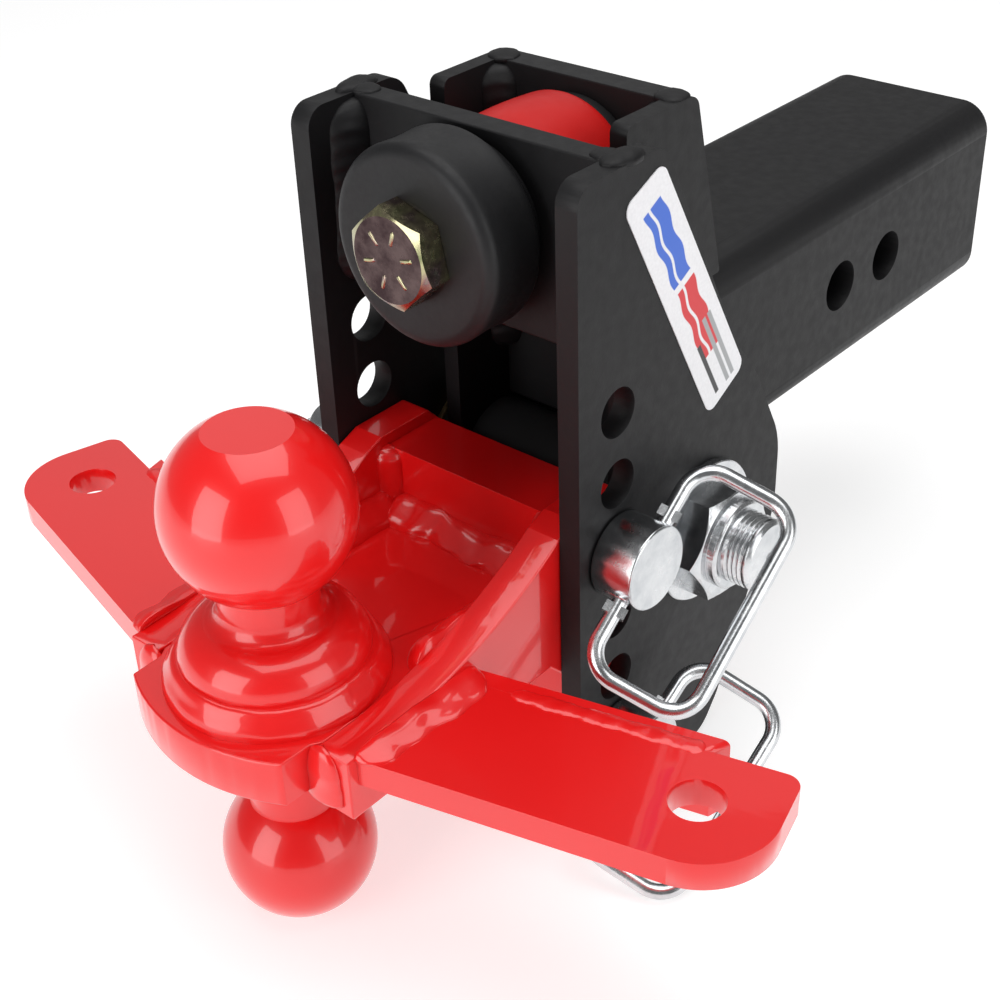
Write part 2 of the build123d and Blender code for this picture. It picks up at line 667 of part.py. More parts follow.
# ---------------------------------------------------------------- build everything
def build_rear_frame():
    make_shank()
    make_back_plate()
    make_rear_side_plate("rear_side_plate_right", REAR_IN)
    make_rear_side_plate("rear_side_plate_left", -REAR_OUT)
    make_pivot_tube()
    end = FRONT_IN - THRUST_WASHER
    make_bushing("pivot_bushing_right", end - 30, end)
    make_bushing("pivot_bushing_left", -end, -end + 30)
    make_cushion_bolt()
    make_ring_y("cushion_bolt_washer", 18.6, BOLT / 2, SHANK_FRONT_Y, SHANK_FRONT_Y + CUSHION_WASHER)
    make_cushion_nut()
    make_ring_y("rear_cushion_seat", 25.0, 13.2, BACK_PLATE_FRONT_Y - 4.5, BACK_PLATE_FRONT_Y)


def build_front_frame():
    make_front_side_plate("front_side_plate_right", FRONT_IN)
    make_front_side_plate("front_side_plate_left", -HALF_FRONT)
    make_cross_plate()
    make_corner_weld("weld_front_right", 1)
    make_corner_weld("weld_front_left", -1)
    make_ring_y("front_cushion_seat", 27.0, 13.2, CROSS_FRONT_Y - 5, CROSS_FRONT_Y)
    make_pivot_bolt()
    bore = PIVOT_BOLT / 2
    make_washer_x("pivot_washer_right", 25.4, bore, HALF_FRONT, HALF_FRONT + PIVOT_WASHER)
    make_washer_x("pivot_washer_left", 25.4, bore, -HALF_FRONT - PIVOT_WASHER, -HALF_FRONT)
    make_washer_x("thrust_washer_right", 21.0, bore, FRONT_IN - THRUST_WASHER, FRONT_IN)
    make_washer_x("thrust_washer_left", 21.0, bore, -FRONT_IN, -FRONT_IN + THRUST_WASHER)
    make_pivot_nut()
    make_label()


def build_ball_mount():
    make_mount_side_plate("mount_side_plate_right", MOUNT_IN)
    make_mount_side_plate("mount_side_plate_left", -MOUNT_OUT)
    make_mount_block("mount_block_upper", PLATE_TOP_Z - BALL_PLATE, -15.6, UPPER_PIN_Z)
    make_mount_block("mount_block_lower", -117.0, -87.0, LOWER_PIN_Z)
    make_ball_plate()
    make_top_ball()
    make_bottom_ball()
    for name, side in (("right", 1), ("left", -1)):
        make_sway_tab("sway_tab_" + name, side)
        make_stiffener("tab_stiffener_" + name, side)
        make_plate_side_weld("weld_plate_" + name, side)
        make_tab_weld("weld_tab_" + name, side)
        make_gusset_end_weld("weld_gusset_" + name, side)
    make_block_welds()
    make_ball_weld()


def build_pins():
    settings = (("upper", UPPER_PIN_Z, 37.4, 27.0, 0.0), ("lower", LOWER_PIN_Z, 30.0, 26.0, -1.3))
    for name, pin_z, lean, drop, slide in settings:
        lean_rad = math.radians(lean)
        make_pin("pin_" + name, pin_z, lean_rad)
        make_handle("handle_" + name, pin_z, lean_rad, math.radians(drop), slide)
        make_keeper("keeper_" + name, pin_z)


build_rear_frame()
build_front_frame()
make_cushion("front_cushion", 32.0, FRONT_Y - CUSHION_PROUD, CROSS_FRONT_Y - 5, 4.0, 3.0, 13.2)
make_cushion("rear_cushion", 28.6, CROSS_BACK_Y, BACK_PLATE_FRONT_Y - 4.5, 3.0, 4.5, 13.2)
build_ball_mount()
build_pins()
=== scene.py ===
import json
import math

import bmesh
import bpy
from mathutils import Matrix, Vector


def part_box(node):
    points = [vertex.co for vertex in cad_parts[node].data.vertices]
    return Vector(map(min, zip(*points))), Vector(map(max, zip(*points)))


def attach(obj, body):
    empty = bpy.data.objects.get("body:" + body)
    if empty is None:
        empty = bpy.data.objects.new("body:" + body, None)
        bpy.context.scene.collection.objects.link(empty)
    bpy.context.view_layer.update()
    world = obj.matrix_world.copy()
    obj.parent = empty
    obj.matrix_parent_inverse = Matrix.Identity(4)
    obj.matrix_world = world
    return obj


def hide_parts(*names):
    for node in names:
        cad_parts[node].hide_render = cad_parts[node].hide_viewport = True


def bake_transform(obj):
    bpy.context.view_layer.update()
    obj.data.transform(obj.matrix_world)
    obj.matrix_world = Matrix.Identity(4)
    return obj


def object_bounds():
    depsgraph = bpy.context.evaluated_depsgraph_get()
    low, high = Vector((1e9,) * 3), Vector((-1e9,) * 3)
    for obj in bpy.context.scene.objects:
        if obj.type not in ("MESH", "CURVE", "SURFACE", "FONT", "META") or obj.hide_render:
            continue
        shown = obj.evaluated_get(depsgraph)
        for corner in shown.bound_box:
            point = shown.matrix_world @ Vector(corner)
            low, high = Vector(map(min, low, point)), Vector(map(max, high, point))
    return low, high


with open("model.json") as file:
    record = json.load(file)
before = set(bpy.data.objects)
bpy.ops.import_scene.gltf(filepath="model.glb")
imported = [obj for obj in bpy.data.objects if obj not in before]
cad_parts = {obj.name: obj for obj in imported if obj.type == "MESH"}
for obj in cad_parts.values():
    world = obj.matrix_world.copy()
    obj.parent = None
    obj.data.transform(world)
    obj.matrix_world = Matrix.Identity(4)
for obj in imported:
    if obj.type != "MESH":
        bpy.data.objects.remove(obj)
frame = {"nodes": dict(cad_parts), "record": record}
CAD_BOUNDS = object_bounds()
NODES = frame["nodes"]
MM = 0.001
LABEL_DOWN = (0.0472, -0.0864)      # direction of the sticker's long side in the YZ plane


# ------------------------------------------------------------------ node helpers
class Nodes:
    """Small helper around one material's node tree."""

    def __init__(self, name):
        self.mat = bpy.data.materials.new(name)
        self.mat.use_nodes = True
        self.tree = self.mat.node_tree
        self.tree.nodes.clear()
        self.out = self.tree.nodes.new("ShaderNodeOutputMaterial")
        self.bsdf = self.tree.nodes.new("ShaderNodeBsdfPrincipled")
        self.link(self.bsdf.outputs[0], self.out.inputs[0])
        self.coord = self.tree.nodes.new("ShaderNodeTexCoord").outputs["Object"]

    def link(self, a, b):
        self.tree.links.new(a, b)

    def node(self, kind, **settings):
        n = self.tree.nodes.new(kind)
        for key, value in settings.items():
            setattr(n, key, value)
        return n

    def put(self, socket, value):
        """Link a socket, or set a plain value."""
        if isinstance(value, bpy.types.NodeSocket):
            self.link(value, socket)
        else:
            socket.default_value = value

    def noise(self, scale, detail=3.0, rough=0.5, distortion=0.0):
        n = self.node("ShaderNodeTexNoise")
        self.link(self.coord, n.inputs["Vector"])
        n.inputs["Scale"].default_value = scale
        n.inputs["Detail"].default_value = detail
        n.inputs["Roughness"].default_value = rough
        n.inputs["Distortion"].default_value = distortion
        return n.outputs["Fac"]

    def cell_distance(self, scale):
        n = self.node("ShaderNodeTexVoronoi")
        self.link(self.coord, n.inputs["Vector"])
        n.inputs["Scale"].default_value = scale
        return n.outputs["Distance"]

    def ramp(self, fac, stops):
        """Colour ramp from (position, grey value or RGB) stops."""
        n = self.node("ShaderNodeValToRGB")
        while len(n.color_ramp.elements) < len(stops):
            n.color_ramp.elements.new(0.5)
        for element, (pos, colour) in zip(n.color_ramp.elements, stops):
            element.position = pos
            if isinstance(colour, float):
                colour = (colour, colour, colour)
            element.color = (*colour, 1)
        self.link(fac, n.inputs[0])
        return n.outputs[0]

    def map_range(self, value, a, b, c, d):
        """Map a..b to c..d, clamped."""
        n = self.node("ShaderNodeMapRange")
        self.link(value, n.inputs["Value"])
        for key, v in zip(("From Min", "From Max", "To Min", "To Max"), (a, b, c, d)):
            n.inputs[key].default_value = v
        return n.outputs[0]

    def math(self, op, a, b=0.0):
        n = self.node("ShaderNodeMath", operation=op)
        self.put(n.inputs[0], a)
        self.put(n.inputs[1], b)
        return n.outputs[0]

    def mix(self, fac, a, b):
        n = self.node("ShaderNodeMix", data_type="RGBA")
        self.put(n.inputs[0], fac)
        for socket, value in ((n.inputs[6], a), (n.inputs[7], b)):
            if isinstance(value, tuple) and len(value) == 3:
                value = (*value, 1)
            self.put(socket, value)
        return n.outputs[2]

    def bump(self, height, strength, distance, normal=None):
        n = self.node("ShaderNodeBump")
        n.inputs["Strength"].default_value = strength
        n.inputs["Distance"].default_value = distance
        self.link(height, n.inputs["Height"])
        if normal is not None:
            self.link(normal, n.inputs["Normal"])
        return n.outputs[0]

    def pointiness(self):
        return self.node("ShaderNodeNewGeometry").outputs["Pointiness"]

    def set(self, **values):
        """Shader inputs by name, such as base_color for Base Color."""
        for key, value in values.items():
            self.put(self.bsdf.inputs[key.replace("_", " ").title()], value)


# ------------------------------------------------------------------ materials
def black_coat(name="black_powder_coat", ripple=0.0):
    """Satin powder coat: fine grain, faint orange peel, a few grains of dust, and a painted
    highlight along the convex edges.
    """
    n = Nodes(name)
    grain = n.noise(900, 4.0, 0.65)
    orange = n.noise(230, 2.0, 0.5)
    cloud = n.noise(9, 2.0, 0.5)
    dust = n.cell_distance(170)
    speck = n.ramp(dust, [(0.0, 1.0), (0.04, 0.0), (1.0, 0.0)])
    keep = n.ramp(n.noise(48, 2.0, 0.5), [(0.0, 0.0), (0.58, 0.0), (0.68, 1.0)])
    speck = n.math("MULTIPLY", speck, keep)
    tone = n.ramp(cloud, [(0.3, (0.0080, 0.0078, 0.0086)), (0.7, (0.0100, 0.0097, 0.0103))])
    # painted highlight: convex edges, found by pointiness, are lightened towards grey
    edge_highlight = n.ramp(n.pointiness(), [(0.0, 0.0), (0.54, 0.0), (0.62, 1.0)])
    tone = n.mix(n.math("MULTIPLY", edge_highlight, 0.25), tone, (0.05, 0.05, 0.052))
    tone = n.mix(n.math("MULTIPLY", speck, 0.5), tone, (0.13, 0.125, 0.12))
    n.set(base_color=tone, roughness=n.map_range(orange, 0.3, 0.7, 0.46, 0.55))
    n.bsdf.inputs["Specular IOR Level"].default_value = 0.24
    normal = n.bump(grain, 0.20, 0.0002)
    normal = n.bump(orange, 0.03, 0.0004, normal)
    if ripple:
        normal = n.bump(n.noise(150, 3.0, 0.6), ripple, 0.0012, normal)
    n.set(normal=normal)
    return n.mat


def red_coat(name="red_gloss_coat", puddle=0.0):
    """Thick gloss coat: a slow orange peel, and waves where it lies over a weld."""
    n = Nodes(name)
    peel = n.noise(120, 2.0, 0.5)
    cloud = n.noise(11, 2.0, 0.5)
    tone = n.ramp(cloud, [(0.3, (0.76, 0.0060, 0.0065)), (0.7, (0.82, 0.0080, 0.0080))])
    n.set(base_color=tone, roughness=0.30)
    n.bsdf.inputs["Specular IOR Level"].default_value = 0.4
    n.bsdf.inputs["Coat Weight"].default_value = 0.8
    n.bsdf.inputs["Coat Roughness"].default_value = 0.04
    normal = n.bump(peel, 0.05, 0.0005)
    if puddle:
        wave = n.noise(48, 1.0, 0.4, distortion=0.7)
        normal = n.bump(wave, puddle, 0.0022, normal)
    n.set(normal=normal)
    n.link(normal, n.bsdf.inputs["Coat Normal"])
    return n.mat


def bright_zinc():
    """Bright zinc with a crystalline mottle."""
    n = Nodes("bright_zinc")
    fine = n.noise(700, 3.0, 0.6)
    patch = n.noise(85, 5.0, 0.7)
    tone = n.ramp(patch, [(0.3, (0.52, 0.54, 0.56)), (0.7, (0.74, 0.75, 0.76))])
    rough = n.map_range(patch, 0.25, 0.75, 0.16, 0.32)
    n.set(base_color=tone, metallic=1.0, roughness=rough)
    normal = n.bump(fine, 0.14, 0.00015)
    n.set(normal=n.bump(patch, 0.10, 0.0005, normal))
    return n.mat


def yellow_zinc(name="yellow_zinc", front_face_brown=1.0):
    """Yellow passivated zinc: straw to green with violet patches, and darker brown on the faces that
    point to -Y, such as the head's front face.
    """
    n = Nodes(name)
    patch = n.noise(70, 3.0, 0.6, distortion=0.5)
    fine = n.noise(420, 3.0, 0.6)
    tone = n.ramp(patch, [
        (0.30, (0.22, 0.25, 0.12)),
        (0.43, (0.50, 0.48, 0.27)),
        (0.55, (0.40, 0.34, 0.23)),
        (0.64, (0.28, 0.20, 0.20)),
        (0.76, (0.26, 0.34, 0.24)),
    ])
    # darker brown on the faces that point to -Y, picked by the face's direction alone
    face = n.node("ShaderNodeSeparateXYZ")
    n.link(n.node("ShaderNodeTexCoord").outputs["Normal"], face.inputs[0])
    front_face_mask = n.map_range(face.outputs["Y"], -0.985, -0.93, 1.0, 0.0)
    mottle = n.noise(160, 4.0, 0.6)
    brown = n.ramp(mottle, [(0.35, (0.045, 0.026, 0.028)), (0.65, (0.12, 0.082, 0.080))])
    tone = n.mix(n.math("MULTIPLY", front_face_mask, front_face_brown), tone, brown)
    n.set(base_color=tone, metallic=1.0, roughness=n.map_range(fine, 0.3, 0.7, 0.16, 0.30))
    n.set(normal=n.bump(fine, 0.16, 0.00015))
    return n.mat


def black_rubber():
    """Moulded rubber, faintly mottled."""
    n = Nodes("black_rubber")
    grain = n.noise(500, 4.0, 0.65)
    cloud = n.noise(24, 3.0, 0.6)
    tone = n.ramp(cloud, [(0.3, (0.0085, 0.0085, 0.0095)), (0.7, (0.0125, 0.0122, 0.0128))])
    n.set(base_color=tone, roughness=n.map_range(grain, 0.3, 0.7, 0.42, 0.54))
    n.bsdf.inputs["Specular IOR Level"].default_value = 0.30
    n.set(normal=n.bump(grain, 0.16, 0.0002))
    return n.mat


def red_urethane():
    """Cast polyurethane: smooth, slightly translucent."""
    n = Nodes("red_urethane")
    cloud = n.noise(30, 2.0, 0.5)
    fine = n.noise(400, 2.0, 0.5)
    tone = n.ramp(cloud, [(0.3, (0.50, 0.0060, 0.0055)), (0.7, (0.57, 0.0080, 0.0070))])
    n.set(base_color=tone, roughness=n.map_range(fine, 0.3, 0.7, 0.36, 0.44))
    n.bsdf.inputs["Specular IOR Level"].default_value = 0.22
    n.bsdf.inputs["Subsurface Weight"].default_value = 0.04
    n.bsdf.inputs["Subsurface Scale"].default_value = 0.002
    n.set(normal=n.bump(fine, 0.05, 0.0002))
    return n.mat


def bronze():
    """Turned bronze bushings."""
    n = Nodes("bushing_bronze")
    ring = n.noise(300, 3.0, 0.6)
    tone = n.ramp(ring, [(0.3, (0.36, 0.24, 0.11)), (0.7, (0.52, 0.38, 0.2))])
    n.set(base_color=tone, metallic=1.0, roughness=n.map_range(ring, 0.3, 0.7, 0.3, 0.45))
    n.set(normal=n.bump(ring, 0.1, 0.0001))
    return n.mat


LABEL_WAVES = 420.0         # radians per metre along the sticker
LABEL_WAVE_HEIGHT = 0.0006
LABEL_BARS = (              # middle and half length along the sticker, colour
    (-0.0245, 0.0165, (0.03, 0.13, 0.62)),
    (0.0115, 0.0165, (0.66, 0.012, 0.02)),
)
LABEL_BAR_STROKES = ((0.0022, 0.0026), (-0.0030, 0.0012))       # middle and half width across
LABEL_STRIPES = (           # middle and half length along the sticker, place across, colour
    (0.030, 0.016, 0.0052, (0.35, 0.36, 0.37)),
    (0.030, 0.016, 0.0022, (0.35, 0.36, 0.37)),
    (0.033, 0.012, -0.0040, (0.02, 0.02, 0.022)),
)
LABEL_STRIPE_HALF = 0.0008


def label_print():
    """White film with a generic print: a wavy blue and red bar, then fine grey stripes."""
    n = Nodes("label_print")
    low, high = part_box("label")
    middle = (low + high) / 2
    slope = math.atan2(LABEL_DOWN[1], LABEL_DOWN[0])
    place = n.node("ShaderNodeVectorMath", operation="SUBTRACT")
    n.link(n.coord, place.inputs[0])
    place.inputs[1].default_value = middle
    turn = n.node("ShaderNodeVectorRotate", rotation_type="X_AXIS")
    n.link(place.outputs[0], turn.inputs["Vector"])
    turn.inputs["Angle"].default_value = -slope
    split = n.node("ShaderNodeSeparateXYZ")
    n.link(turn.outputs[0], split.inputs[0])
    along, across = split.outputs["Y"], split.outputs["Z"]

    def band(value, centre, half, soft=0.0003):
        away = n.math("ABSOLUTE", n.math("SUBTRACT", value, centre))
        return n.map_range(away, half, half + soft, 1.0, 0.0)

    fibre = n.noise(900, 2.0, 0.5)
    tone = n.ramp(fibre, [(0.3, (0.80, 0.80, 0.82)), (0.7, (0.86, 0.86, 0.88))])
    wave = n.math("SINE", n.math("MULTIPLY", along, LABEL_WAVES))
    wavy = n.math("ADD", across, n.math("MULTIPLY", wave, LABEL_WAVE_HEIGHT))
    for centre, half, colour in LABEL_BARS:
        span = band(along, centre, half)
        for offset, width in LABEL_BAR_STROKES:
            tone = n.mix(n.math("MULTIPLY", span, band(wavy, offset, width)), tone, colour)
    for centre, half, offset, colour in LABEL_STRIPES:
        span = n.math("MULTIPLY", band(along, centre, half), band(across, offset, LABEL_STRIPE_HALF))
        tone = n.mix(span, tone, colour)
    n.set(base_color=tone, roughness=0.30)
    n.set(normal=n.bump(fibre, 0.03, 0.0001))
    return n.mat


MATERIALS = {
    "black_coat": black_coat(),
    "red_coat": red_coat(),
    "zinc_bright": bright_zinc(),
    "zinc_yellow": yellow_zinc(),
    "rubber_black": black_rubber(),
    "polyurethane_red": red_urethane(),
    "bushing_bronze": bronze(),
    "label_print": label_print(),
}
RED_WELD = red_coat("red_weld_coat", puddle=0.16)
# the bolt marks use the same zinc without the darker brown on -Y faces
BRIGHT_MARK = yellow_zinc("yellow_zinc_marks", front_face_brown=0.0)
BLACK_WELD = black_coat("black_weld_coat", ripple=0.12)
ROUNDED = (                 # words in the names of the nodes whose edges are softened
    "plate", "tab_", "mount_", "cross_", "back_", "shank_", "sway_",
    "pin_", "pivot_nut", "pivot_bolt",
)
PLATE_EDGE = 0.7 * MM       # radius on the edges of the steelwork
TURNED_EDGE = 0.35 * MM     # radius on the pins and the pivot


def finish_cad_nodes():
    """Each CAD node gets its slot's material, and the steelwork gets softened edges."""
    for part in frame["record"]["subparts"]:
        name = part["node"]
        obj = NODES[name]
        obj.data.materials.clear()
        obj.data.materials.append(MATERIALS[part["material_slot"]])
        if any(word in name for word in ROUNDED):
            turned = name.startswith(("pin_", "pivot_"))
            soften(obj, TURNED_EDGE if turned else PLATE_EDGE)


def soften(obj, width):
    """Small rounded edges by modifiers, the CAD mesh itself stays as it is."""
    weld = obj.modifiers.new("weld", "WELD")
    weld.merge_threshold = 0.00001
    bevel = obj.modifiers.new("bevel", "BEVEL")
    bevel.width = width
    bevel.segments = 2
    bevel.limit_method = "ANGLE"
    bevel.angle_limit = math.radians(35)
    bevel.harden_normals = True
    bevel.use_clamp_overlap = True


finish_cad_nodes()


# ------------------------------------------------------------------ mesh helpers
def make_piece(name, verts, faces, finish, replaced=(), rides=True):
    """Smooth mesh object that rides on its finish's body and may stand for CAD nodes."""
    material, body, slot = finish
    mesh = bpy.data.meshes.new(name)
    mesh.from_pydata([tuple(v) for v in verts], [], faces)
    mesh.validate()
    bm = bmesh.new()
    bm.from_mesh(mesh)
    bmesh.ops.recalc_face_normals(bm, faces=bm.faces)
    bm.to_mesh(mesh)
    bm.free()
    mesh.materials.append(material)
    mesh.shade_smooth()
    obj = bpy.data.objects.new(name, mesh)
    bpy.context.collection.objects.link(obj)
    if rides:
        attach(obj, body)
    if replaced:
        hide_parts(*replaced)
    return obj


SUNK = 0.6 * MM             # how far a bead reaches into the plates that it joins
RING_STEP = 0.6 * MM        # distance between the rings of a bead's mesh


def wobble(seed, t):
    """Smooth value between about -1 and 1, the same on each run."""
    total = 0.0
    for k, weight in ((1.0, 0.5), (2.3, 0.3), (5.1, 0.2)):
        total += weight * math.sin(k * t + seed * 12.9898 * k + 1.7 * k * k)
    return total


def end_faces(rings, per_ring):
    """Faces that close the first and the last ring of a tube."""
    total = rings * per_ring
    return [tuple(range(per_ring)), tuple(range(total - per_ring, total))]


def rounded_end(t, share):
    """From 0 at either end of a bead to 1 within a share of its length, as a quarter circle."""
    return math.sqrt(max(0.0, 1 - (1 - min(1.0, min(t, 1 - t) / share)) ** 2))


def tube_faces(rings, per_ring, closed=False):
    """Quads between neighbouring rings of equal size."""
    faces = []
    count = rings if closed else rings - 1
    for i in range(count):
        j = (i + 1) % rings
        for k in range(per_ring):
            m = (k + 1) % per_ring
            faces.append((i * per_ring + k, i * per_ring + m, j * per_ring + m, j * per_ring + k))
    return faces


def bead(name, route, length, legs, finish, replaced=(), seed=1, pitch=5.0, ripple=0.05,
         power=1.35, ends=True, uneven=0.07, passes=0.0):
    """Weld bead in a corner.

    route(t) gives the corner point and the two directions along the plates, for t from 0 to 1.
    legs are how far the bead reaches along each plate, in metres.
    pitch and ripple are the length in mm and the depth of the waves along the bead.
    power shapes the section, from 1, a full quarter round, to 2, a flat chamfer.
    uneven is how much the toes wander.
    passes is the depth of the long grooves between the passes that the bead was laid in.
    """
    rings = max(12, int(length / RING_STEP))
    across = 17
    verts = []
    for i in range(rings):
        t = i / (rings - 1)
        point, a, b = route(t)
        s = t * length / MM
        grow = 1.0
        if ends:
            grow = 0.9 * rounded_end(t, 0.9 * max(legs) / length) + 0.1
        toe_a = 1 + uneven * wobble(seed, s * 0.095)
        toe_b = 1 + uneven * wobble(seed + 3.3, s * 0.085)
        ring = []
        for k in range(across):
            angle = math.pi / 2 * k / (across - 1)
            bow = math.sin(2 * angle)
            phase = (s - 0.30 * pitch * bow + 0.25 * pitch * wobble(seed + 7, s * 0.11)) / pitch
            scallop = 0.5 + 0.5 * math.sin(2 * math.pi * phase)
            groove = math.sin(6 * angle + 1.1 * wobble(seed + 5, s * 0.05))
            lift = 1 + bow * (ripple * (scallop - 0.5) + passes * groove)
            u = legs[0] * toe_a * max(0.0, math.cos(angle)) ** power * lift * grow
            v = legs[1] * toe_b * max(0.0, math.sin(angle)) ** power * lift * grow
            ring.append(point + a * u + b * v)
        ring.append(ring[-1] - a * SUNK)
        ring.append(point - (a + b) * SUNK)
        ring.append(ring[0] - b * SUNK)
        verts += ring
    per_ring = across + 3
    faces = tube_faces(rings, per_ring, closed=not ends)
    if ends:
        faces += end_faces(rings, per_ring)
    return make_piece(name, verts, faces, finish, replaced)


def straight(start, end, a, b):
    """Route of a bead along a straight corner."""
    start, end, a, b = (Vector(v) for v in (start, end, a, b))
    return (lambda t: (start.lerp(end, t), a, b)), (end - start).length


def mound(name, centre, size, finish, seed):
    """Rounded lump of weld metal, flat underneath, with a faintly rippled crown."""
    centre = Vector(centre)
    rings, per_ring = 14, 36
    verts = []
    for i in range(rings):
        lift = math.pi / 2 * i / (rings - 1)
        for k in range(per_ring):
            turn = 2 * math.pi * k / per_ring
            grow = 1 + 0.09 * wobble(seed, 2 * math.cos(turn) + 1.4 * math.sin(turn))
            reach = max(0.02, math.cos(lift)) ** 1.1 * grow
            x = size[0] * reach * math.cos(turn)
            y = size[1] * reach * math.sin(turn)
            crest = 1 + 0.07 * math.sin(y / (1.5 * MM) - (x / (4.5 * MM)) ** 2)
            z = size[2] * math.sin(lift) * crest / 1.1
            verts.append(centre + Vector((x, y, z)))
    for k in range(per_ring):
        low = verts[k].copy()
        low.z = centre.z - 1.0 * MM
        verts.append(low)
    faces = tube_faces(rings, per_ring)
    skirt = rings * per_ring
    for k in range(per_ring):
        m = (k + 1) % per_ring
        faces.append((k, m, skirt + m, skirt + k))
    faces.append(tuple(range(skirt - per_ring, skirt)))
    faces.append(tuple(range(skirt, skirt + per_ring)))
    return make_piece(name, verts, faces, finish)


def lathe(name, axis_point, profile, finish, replaced, steps=96):
    """Solid of revolution about an axis along Y, from (radius, y) points round a closed section.

    It rides on no body; its caller bakes its transform.
    """
    verts = []
    axis_x, axis_z = axis_point
    for i in range(steps):
        turn = 2 * math.pi * i / steps
        for radius, y in profile:
            x = axis_x + radius * math.cos(turn)
            verts.append((x, y, axis_z + radius * math.sin(turn)))
    faces = tube_faces(steps, len(profile), closed=True)
    return make_piece(name, verts, faces, finish, replaced, rides=False)


def arc_points(centre, radius, start, end, count):
    """Points (radius, y) of a quarter round in a lathe section, angles in degrees."""
    points = []
    for i in range(count):
        angle = math.radians(start + (end - start) * i / (count - 1))
        points.append((centre[0] + radius * math.cos(angle), centre[1] + radius * math.sin(angle)))
    return points


# ------------------------------------------------------------------ buffers and bolt head
RED = (RED_WELD, "front_frame", "red_coat")
BLACK_FRONT = (BLACK_WELD, "front_frame", "black_coat")
BLACK_REAR = (BLACK_WELD, "shank_frame", "black_coat")
YELLOW_MARK = (BRIGHT_MARK, "shank_frame", "zinc_yellow")
BUFFER_BORE = 13.2 * MM     # radius of the hole through both buffers


def make_front_cushion():
    """Black rubber buffer: slightly dished face, rounded rims and a drawn-in waist."""
    low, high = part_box("front_cushion")
    radius = (high.x - low.x) / 2
    z = (low.z + high.z) / 2
    y0, y1 = low.y, high.y
    front_rim, back_rim = 4.2 * MM, 3 * MM
    dish, waist = 0.15 * MM, 0.35 * MM
    side = y1 - y0 - front_rim - back_rim
    profile = [(BUFFER_BORE, y0)]
    profile += [(radius * f, y0 + dish * (1 - f)) for f in (0.5, 0.6, 0.7, 0.8)]
    profile += arc_points((radius - front_rim, y0 + front_rim), front_rim, -90, 0, 9)
    for i in range(1, 10):
        t = i / 10
        profile.append((radius - waist * math.sin(math.pi * t), y0 + front_rim + side * t))
    profile += arc_points((radius - back_rim, y1 - back_rim), back_rim, 0, 90, 7)
    profile.append((BUFFER_BORE, y1))
    finish = (MATERIALS["rubber_black"], "front_frame", "rubber_black")
    axis = ((low.x + high.x) / 2, z)
    cushion = lathe("rubber_buffer_front", axis, profile, finish, ["front_cushion"])
    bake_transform(cushion)


def make_rear_cushion():
    """Red polyurethane buffer, squeezed a little so that its side bulges."""
    low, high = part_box("rear_cushion")
    radius = (high.x - low.x) / 2
    z = (low.z + high.z) / 2
    y0, y1 = low.y, high.y
    front_rim, back_rim = 3 * MM, 5 * MM
    bulge = 0.6 * MM
    side = y1 - y0 - front_rim - back_rim
    rim = radius - bulge
    profile = [(BUFFER_BORE, y0)]
    profile += arc_points((rim - front_rim, y0 + front_rim), front_rim, -90, 0, 6)
    for i in range(1, 14):
        t = i / 14
        profile.append((rim + bulge * math.sin(math.pi * t), y0 + front_rim + side * t))
    profile += arc_points((rim - back_rim, y1 - back_rim), back_rim, 0, 90, 8)
    profile.append((BUFFER_BORE, y1))
    finish = (MATERIALS["polyurethane_red"], "front_frame", "polyurethane_red")
    axis = ((low.x + high.x) / 2, z)
    cushion = lathe("urethane_buffer_rear", axis, profile, finish, ["rear_cushion"])
    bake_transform(cushion)


def make_bolt_marks():
    """Six short raised bars on the face of the cushion bolt's head."""
    low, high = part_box("cushion_bolt")
    z = (low.z + high.z) / 2
    face = low.y
    start, end, half = 5.2 * MM, 10.2 * MM, 0.75 * MM
    rings = ((0.5 * MM, half), (0.0, half), (-0.25 * MM, 0.6 * half))
    around = 12
    for number in range(6):
        turn = math.radians(60 * number + 13)
        out = Vector((math.cos(turn), 0, math.sin(turn)))
        side = Vector((-math.sin(turn), 0, math.cos(turn)))
        verts = []
        for depth, radius in rings:
            for step in range(around):
                angle = 2 * math.pi * step / around
                reach = (start + end) / 2 + math.copysign((end - start) / 2 - half, math.cos(angle))
                reach += radius * math.cos(angle)
                point = Vector((0, face + depth, z)) + out * reach
                verts.append(point + side * (radius * math.sin(angle)))
        faces = tube_faces(len(rings), around) + end_faces(len(rings), around)
        make_piece("bolt_mark_%d" % (number + 1), verts, faces, YELLOW_MARK)


# ------------------------------------------------------------------ welds of the black frames
SIDES = (("right", 1), ("left", -1))


def make_front_frame_welds():
    """Vertical bead in each inner corner of the front frame, with two lumps on top."""
    low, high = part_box("cross_plate")
    for name, side in SIDES:
        x = high.x * side
        start = (x, low.y, low.z)
        end = (x, low.y, high.z - 1.5 * MM)
        route, length = straight(start, end, (-side, 0, 0), (0, -1, 0))
        bead("front_corner_bead_" + name, route, length, (6.0 * MM, 12.0 * MM), BLACK_FRONT,
             ["weld_front_" + name], seed=2 + side)
        over_side_plate = (x + side * 3.9 * MM, low.y + 5.8 * MM, high.z)
        mound("front_corner_cap_" + name, over_side_plate, (4.8 * MM, 8.4 * MM, 2.6 * MM),
              BLACK_FRONT, seed=4 + side)
        over_cross_plate = (x - side * 0.8 * MM, (low.y + high.y) / 2, high.z)
        mound("front_corner_lap_" + name, over_cross_plate, (5.4 * MM, 4.6 * MM, 1.7 * MM),
              BLACK_FRONT, seed=7 + side)


